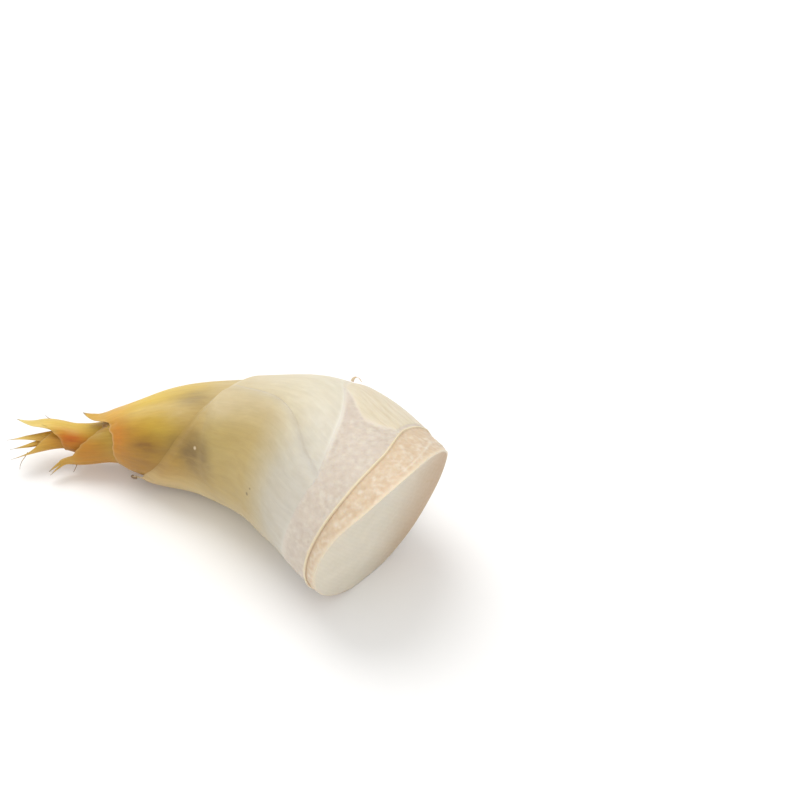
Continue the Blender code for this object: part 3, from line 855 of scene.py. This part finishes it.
def build_sheath_1():
    stains_and_shade = [
        ((145.0, 121.0), (11.0, 17.0), 0.8, (166, 128, 72)),
        ((113.0, 102.0), (6.0, 18.0), 0.9, (138, 113, 74)),
        ((126.0, 103.0), (12.0, 24.0), 0.95, (128, 102, 60)),
        ((130.0, 46.0), (6.0, 14.0), 0.5, (158, 136, 98)),
        ((108.0, 57.0), (13.0, 14.0), 0.6, (234, 216, 180)),
        ((112.0, 128.0), (9.0, 20.0), 0.3, (178, 146, 86)),
        ((118.0, 250.0), (15.0, 26.0), 0.95, (130, 102, 58)),
        ((104.0, 84.0), (16.0, 22.0), 0.35, (188, 164, 88)),
        ((98.0, 300.0), (15.0, 30.0), 0.4, (202, 178, 124)),
        ((138.0, 212.0), (12.0, 22.0), 0.5, (164, 128, 74)),
        ((136.0, 318.0), (11.0, 24.0), 0.6, (146, 120, 74)),
    ]
    material = sheath_material(
        "sheath_1",
        front=[
            (45, (216, 208, 193)), (58, (209, 200, 180)), (70, (206, 190, 153)),
            (84, (199, 174, 116)), (98, (196, 170, 108)), (112, (200, 173, 106)),
            (124, (200, 168, 98)), (134, (200, 162, 76)), (161, (206, 158, 56)),
        ],
        # Paler top colours, partly painted highlight from the light above.
        crown=[
            (60, (236, 228, 210)), (84, (238, 228, 203)), (100, (233, 219, 187)),
            (114, (230, 211, 170)), (124, (222, 197, 138)), (134, (230, 198, 108)),
            (160, (232, 200, 100)),
        ],
        belly=[
            (50, (230, 223, 209)), (76, (225, 213, 193)), (96, (226, 208, 168)),
            (125, (226, 206, 158)), (158, (214, 186, 136)),
        ],
        stains_and_shade=stains_and_shade,
        marks=[
            (on_sheath_1(122.7, 97.5), 0.95, (226, 202, 166), 0.85),
            (on_sheath_1(78.5, 109.0), 0.9, (120, 104, 70), 0.75),
            (on_sheath_1(75.5, 103.5), 0.6, (128, 108, 70), 0.7),
            (on_sheath_1(53.5, 145.0), 0.7, (96, 80, 60), 0.9),
        ],
        margin=(244, 237, 222),
        streaks=0.2,
    )
    stub = dict(at=0.0, half=10, length=4.6, lift=1.3, turn=4.0, steps=14, belly=0.45, dark=0.4)
    shell = sheath_shell(0, 280, 120, [stub], ragged=0.12)
    shell.build("shoot_sheath_1", "sheath_1", stains_and_shade, material)


def build_sheath_2():
    stains_and_shade = [
        ((142.0, 78.0), (7.0, 16.0), 0.65, (214, 180, 60)),
        ((150.0, 101.0), (6.5, 14.0), 0.9, (134, 90, 32)),
        ((141.0, 122.0), (11.0, 16.0), 0.75, (150, 114, 60)),
        ((154.0, 128.0), (11.0, 18.0), 0.7, (158, 112, 48)),
        ((164.0, 86.0), (5.0, 20.0), 0.75, (214, 128, 32)),
        ((133.0, 103.0), (9.0, 25.0), 0.8, (128, 102, 60)),
        ((131.0, 48.0), (9.0, 15.0), 0.8, (156, 136, 98)),
        ((148.0, 54.0), (12.0, 10.0), 0.6, (236, 208, 148)),
        ((136.0, 64.0), (8.0, 12.0), 0.6, (226, 200, 144)),
        ((146.0, 250.0), (13.0, 34.0), 0.7, (152, 112, 44)),
        ((158.0, 305.0), (10.0, 24.0), 0.6, (178, 132, 58)),
        ((146.0, 342.0), (9.0, 18.0), 0.55, (164, 138, 52)),
    ]
    material = sheath_material(
        "sheath_2",
        front=[
            (124, (190, 156, 86)), (136, (197, 160, 66)), (148, (198, 154, 42)),
            (158, (196, 140, 38)), (168, (216, 148, 42)), (184, (216, 162, 68)),
        ],
        crown=[
            # Paler top colours, partly painted highlight from the light above.
            (122, (222, 197, 138)), (134, (230, 198, 108)), (155, (244, 208, 84)),
            (168, (236, 184, 84)), (186, (218, 172, 76)),
        ],
        belly=[(125, (192, 160, 104)), (148, (184, 144, 76)), (170, (196, 150, 78))],
        stains_and_shade=stains_and_shade,
    )
    blade = dict(at=15.0, half=18, length=12.0, lift=2.6, turn=-11.0, steps=26, belly=0.95)
    shell = sheath_shell(1, 264, 90, [blade])
    shell.build("shoot_sheath_2", "sheath_2", stains_and_shade, material)


def build_sheath_3():
    stains_and_shade = [
        # Partly its own dark brown, partly painted shadow under the blade of sheath_2.
        ((175.0, 56.0), (4.5, 15.0), 0.95, (146, 82, 36)),
        ((176.5, 78.0), (5.0, 13.0), 0.55, (206, 178, 100)),
        ((182.0, 120.0), (7.0, 24.0), 0.6, (206, 132, 44)),
        ((176.0, 260.0), (9.0, 34.0), 0.6, (164, 120, 46)),
    ]
    material = sheath_material(
        "sheath_3",
        front=[
            (150, (170, 134, 56)), (172, (188, 148, 50)), (184, (192, 136, 42)),
            (195, (212, 172, 88)), (206, (220, 184, 100)),
        ],
        # Paler top colours, partly painted highlight from the light above.
        crown=[(150, (206, 166, 66)), (174, (212, 176, 68)), (190, (224, 186, 74))],
        belly=[
            (150, (190, 140, 66)), (180, (208, 150, 60)), (198, (212, 166, 60)),
            (206, (200, 160, 68)),
        ],
        stains_and_shade=stains_and_shade,
    )
    blade = dict(
        at=-20.0, half=14, length=14.2, lift=5.4, turn=1.0, steps=22, belly=0.8, fork=0.5, part=7.0
    )
    shell = sheath_shell(2, 238, 72, [blade])
    shell.build("shoot_sheath_3", "sheath_3", stains_and_shade, material)


def build_sheath_4():
    stains_and_shade = [
        ((190.0, 92.0), (7.0, 26.0), 0.95, (198, 98, 18)),
        ((180.0, 66.0), (6.0, 18.0), 0.6, (170, 142, 42)),
        ((192.0, 250.0), (9.0, 40.0), 0.7, (186, 112, 32)),
    ]
    material = sheath_material(
        "sheath_4",
        front=[
            (160, (186, 132, 24)), (182, (200, 144, 22)), (194, (208, 132, 24)),
            (208, (226, 180, 78)),
        ],
        # Paler top colours, partly painted highlight from the light above.
        crown=[
            (160, (196, 150, 46)), (182, (218, 178, 64)), (198, (238, 202, 98)),
            (212, (240, 214, 128)),
        ],
        belly=[(160, (190, 138, 46)), (190, (200, 142, 46)), (205, (214, 168, 70))],
        stains_and_shade=stains_and_shade,
    )
    blade = dict(at=0.0, half=32, length=8.0, lift=2.6, turn=-6.0, steps=26, belly=0.7)
    shell = sheath_shell(3, 224, 70, [blade])
    shell.build("shoot_sheath_4", "sheath_4", stains_and_shade, material)


def build_inner_leaves():
    stains_and_shade = [((195.0, 92.0), (6.0, 46.0), 0.65, (172, 104, 24))]
    for number, index, centre, tip, shoulder, half, lift, sway in (
        (5, 4, 165.0, 219.0, 197.0, 172.0, 1.6, -6.0),
        (6, 5, 20.0, 219.0, 198.0, 168.0, 1.2, 6.0),
        (7, 6, 120.0, 218.5, 199.0, 160.0, 0.0, 0.0),
    ):
        material = sheath_material(
            f"sheath_{number}",
            front=[
                (180, (190, 124, 30)), (200, (216, 158, 50)), (210, (226, 182, 84)),
                (219, (200, 168, 108)),
            ],
            # Paler top colours, partly painted highlight from the light above.
            crown=[(180, (196, 138, 42)), (198, (220, 166, 62)), (212, (234, 198, 112))],
            belly=[(180, (190, 130, 34)), (200, (214, 160, 54)), (214, (222, 182, 92))],
            stains_and_shade=stains_and_shade,
        )
        shell = leaf_shell(index, centre, tip, shoulder, half, lift, sway, 120, 90)
        shell.build(f"shoot_sheath_{number}", f"sheath_{number}", stains_and_shade, material)


# ---------------------------------------------------------------- small things


def fibre_material():
    """Dry bristle, straw coloured at its root and grey brown at its tip."""
    g = Graph("dry_fibre", rough=0.6)
    tone = g.noise(0.6, (1, 1, 1), 3.0)
    along = g.field("along")
    base = g.mix(along, srgb(214, 176, 116), srgb(116, 102, 92))
    base = g.mix(0.4, base, g.ramp(tone, [(0.3, 0.8), (0.7, 1.05)]), "MULTIPLY")
    return g.done(base, tone, 0.05, 0.3)


def bristle(name, path, thick, material, age=0.0):
    """A tapering hair along a smooth path in millimetres; age is how far its root has browned."""
    path = np.asarray(path, float)
    knots = np.arange(len(path), dtype=float)
    line = natural_spline(knots, path, np.linspace(0, len(path) - 1, BRISTLE_STEPS + 1))
    points, faces, share = [], [], []
    sides = BRISTLE_SIDES
    for i, centre in enumerate(line):
        ahead = line[min(i + 1, BRISTLE_STEPS)] - line[max(i - 1, 0)]
        ahead /= np.linalg.norm(ahead)
        side = np.cross(ahead, [0.3, 0.9, 0.1])
        side /= np.linalg.norm(side)
        other = np.cross(ahead, side)
        u = i / BRISTLE_STEPS
        radius = thick * (1 - 0.65 * u)
        for k in range(sides):
            a = 2 * np.pi * k / sides
            points.append(centre + radius * (np.cos(a) * side + np.sin(a) * other))
            share.append(age + (1 - age) * u)
    for i in range(BRISTLE_STEPS):
        for k in range(sides):
            a, b = i * sides + k, i * sides + (k + 1) % sides
            faces.append((a, b, b + sides, a + sides))
    faces.append(tuple(range(sides))[::-1])
    faces.append(tuple(BRISTLE_STEPS * sides + k for k in range(sides)))
    values = {"grow": np.array(points), "along": np.array(share)}
    make_object(name, points, faces, material, values)


def build_small_things():
    """Four bristles and a torn curl, each drawn in the plane of CROWN and a level line."""
    material = fibre_material()
    level = np.array([0.927, 0.375, 0.0])  # square to CROWN

    def trail(start, moves):
        return [start] + [start + x * level + y * CROWN for x, y in moves]

    torn = on_skin(158.6, 148.0, -0.3) + 1.2 * level - 0.4 * CROWN
    for name, slot, start, moves, thick, age in (
        (
            "hair_tip", "sheath_7", on_skin(211.75, 164.0, 8.4),
            [(-1.2, -2.0), (-2.4, -3.7), (-3.1, -5.5), (-3.3, -7.1)], 0.19, 0.35,
        ),
        (
            "hair_fork", "sheath_3", on_skin(188.4, 168.0, 3.2),
            [(-0.4, -1.4), (-1.0, -2.9), (-1.75, -4.3)], 0.24, 0.4,
        ),
        (
            "hair_top", "sheath_4", on_skin(200.5, -2.0, 4.2),
            [(-0.7, 0.3), (-1.5, 0.9), (-2.3, 1.7)], 0.19, 0.2,
        ),
        (
            "hair_ear", "sheath_2", on_skin(169.0, 74.0, 2.6),
            [(-0.5, 0.2), (-1.2, 0.7), (-1.6, 1.3)], 0.15, 0.0,
        ),
        (
            "torn_curl", "sheath_1", torn,
            [(-1.3, 0.0), (-2.1, 0.5), (-1.9, 1.1), (-1.2, 1.0)], 0.5, 0.8,
        ),
    ):
        bristle(name, trail(start, moves), thick, material, age)


def build_peel():
    """A thin peel of skin that stands up on the crown and curls over towards the cut."""
    at, turned, sunk = 76.3, -12.0, 0.15
    root = on_skin(at, turned, sunk)
    out = root - frame_at(np.array([at]))[0][0]
    out /= np.linalg.norm(out)
    back = on_skin(at - 3.0, turned, sunk) - root
    back /= np.linalg.norm(back)
    side = np.cross(out, back)
    bends = [(-0.3, -0.1), (0.7, -0.25), (1.5, 0.15), (1.95, 1.1), (1.8, 2.3), (1.25, 3.4), (0.9, 4.3)]
    path = np.array([root + a * out + b * back for a, b in bends])
    rows, columns = 48, 9
    knots = np.arange(len(path), dtype=float)
    line = natural_spline(knots, path, np.linspace(0, len(path) - 1, rows))
    ahead = np.gradient(line, axis=0)
    ahead /= np.linalg.norm(ahead, axis=1, keepdims=True)
    normal = np.cross(ahead, side)
    points, faces = [], []
    for layer in (-0.5, 0.5):
        for i in range(rows):
            u = i / (rows - 1)
            for j in range(columns):
                x = j / (columns - 1) * 2 - 1
                wide = (0.95 - 0.75 * u) * x + 0.5 * u
                thick = 0.26 * (1 - 0.6 * u) * (1 - 0.6 * x * x)
                points.append(line[i] + side * wide + normal[i] * (layer * thick + 0.12 * x * x))
    n = rows * columns
    for i in range(rows - 1):
        for j in range(columns - 1):
            a = i * columns + j
            faces.append((a, a + 1, a + columns + 1, a + columns))
            faces.append((a + n, a + n + columns, a + n + columns + 1, a + n + 1))
    border = [i * columns for i in range(rows)]
    border += [(rows - 1) * columns + j for j in range(1, columns)]
    border += [i * columns + columns - 1 for i in range(rows - 2, -1, -1)]
    border += list(range(columns - 2, 0, -1))
    for a, b in zip(border, border[1:] + border[:1]):
        faces.append((a, b, b + n, a + n))
    g = Graph("peel", rough=0.5, soft=0.25)
    tone = g.noise(0.8, (1, 1, 1), 3.0)
    base = g.mix(tone, srgb(226, 196, 164), srgb(244, 226, 204))
    material = g.done(base, tone, 0.05, 0.3)
    make_object("peel", points, faces, material, {"grow": np.array(points)})


# ---------------------------------------------------------------- stage


FLOOR_HALF = 4.0
FLOOR_GREY = 0.93
WORLD_LIGHT = 0.80


def build_floor():
    mesh = bpy.data.meshes.new("floor")
    r = FLOOR_HALF
    mesh.from_pydata([(-r, -r, 0), (r, -r, 0), (r, r, 0), (-r, r, 0)], [], [(0, 1, 2, 3)])
    floor = bpy.data.objects.new("floor", mesh)
    bpy.context.scene.collection.objects.link(floor)
    paint = bpy.data.materials.new("floor")
    paint.use_nodes = True
    shader = paint.node_tree.nodes["Principled BSDF"]
    shader.inputs["Base Color"].default_value = (FLOOR_GREY, FLOOR_GREY, FLOOR_GREY, 1)
    shader.inputs["Roughness"].default_value = 0.8
    mesh.materials.append(paint)


def build_world():
    world = bpy.data.worlds.new("studio")
    bpy.context.scene.world = world
    world.use_nodes = True
    background = world.node_tree.nodes["Background"]
    background.inputs["Color"].default_value = (1.0, 1.0, 1.0, 1.0)
    background.inputs["Strength"].default_value = WORLD_LIGHT


def soft_light(name, at, size, power, colour=(1.0, 1.0, 1.0)):
    """A round lamp that faces the shoot."""
    light = bpy.data.lights.new(name, "AREA")
    light.shape = "DISK"
    light.size = size
    light.energy = power
    light.color = colour
    lamp = bpy.data.objects.new(name, light)
    lamp.location = at
    lamp.rotation_euler = (-Vector(at)).to_track_quat("-Z", "Y").to_euler()
    bpy.context.scene.collection.objects.link(lamp)


def build_camera():
    lens = bpy.data.cameras.new("camera")
    lens.lens = 71.1
    lens.sensor_width = 36.0
    lens.clip_start = 0.01
    camera = bpy.data.objects.new("camera", lens)
    camera.location = (0.21064, -0.42244, 0.43096)
    aim = Vector((0.004, 0.089, 0.0))
    camera.rotation_euler = (aim - camera.location).to_track_quat("-Z", "Y").to_euler()
    bpy.context.scene.collection.objects.link(camera)
    bpy.context.scene.camera = camera


def build_stage():
    build_floor()
    build_world()
    soft_light("key", (-0.35, 0.25, 1.1), 0.9, 6.5, (1.0, 0.985, 0.96))
    soft_light("fill", (0.5, -0.8, 0.7), 0.8, 2.0)
    build_camera()
    bpy.context.scene.view_settings.view_transform = "Standard"


build_core()
build_sheath_1()
build_sheath_2()
build_sheath_3()
build_sheath_4()
build_inner_leaves()
build_small_things()
build_peel()
build_stage()
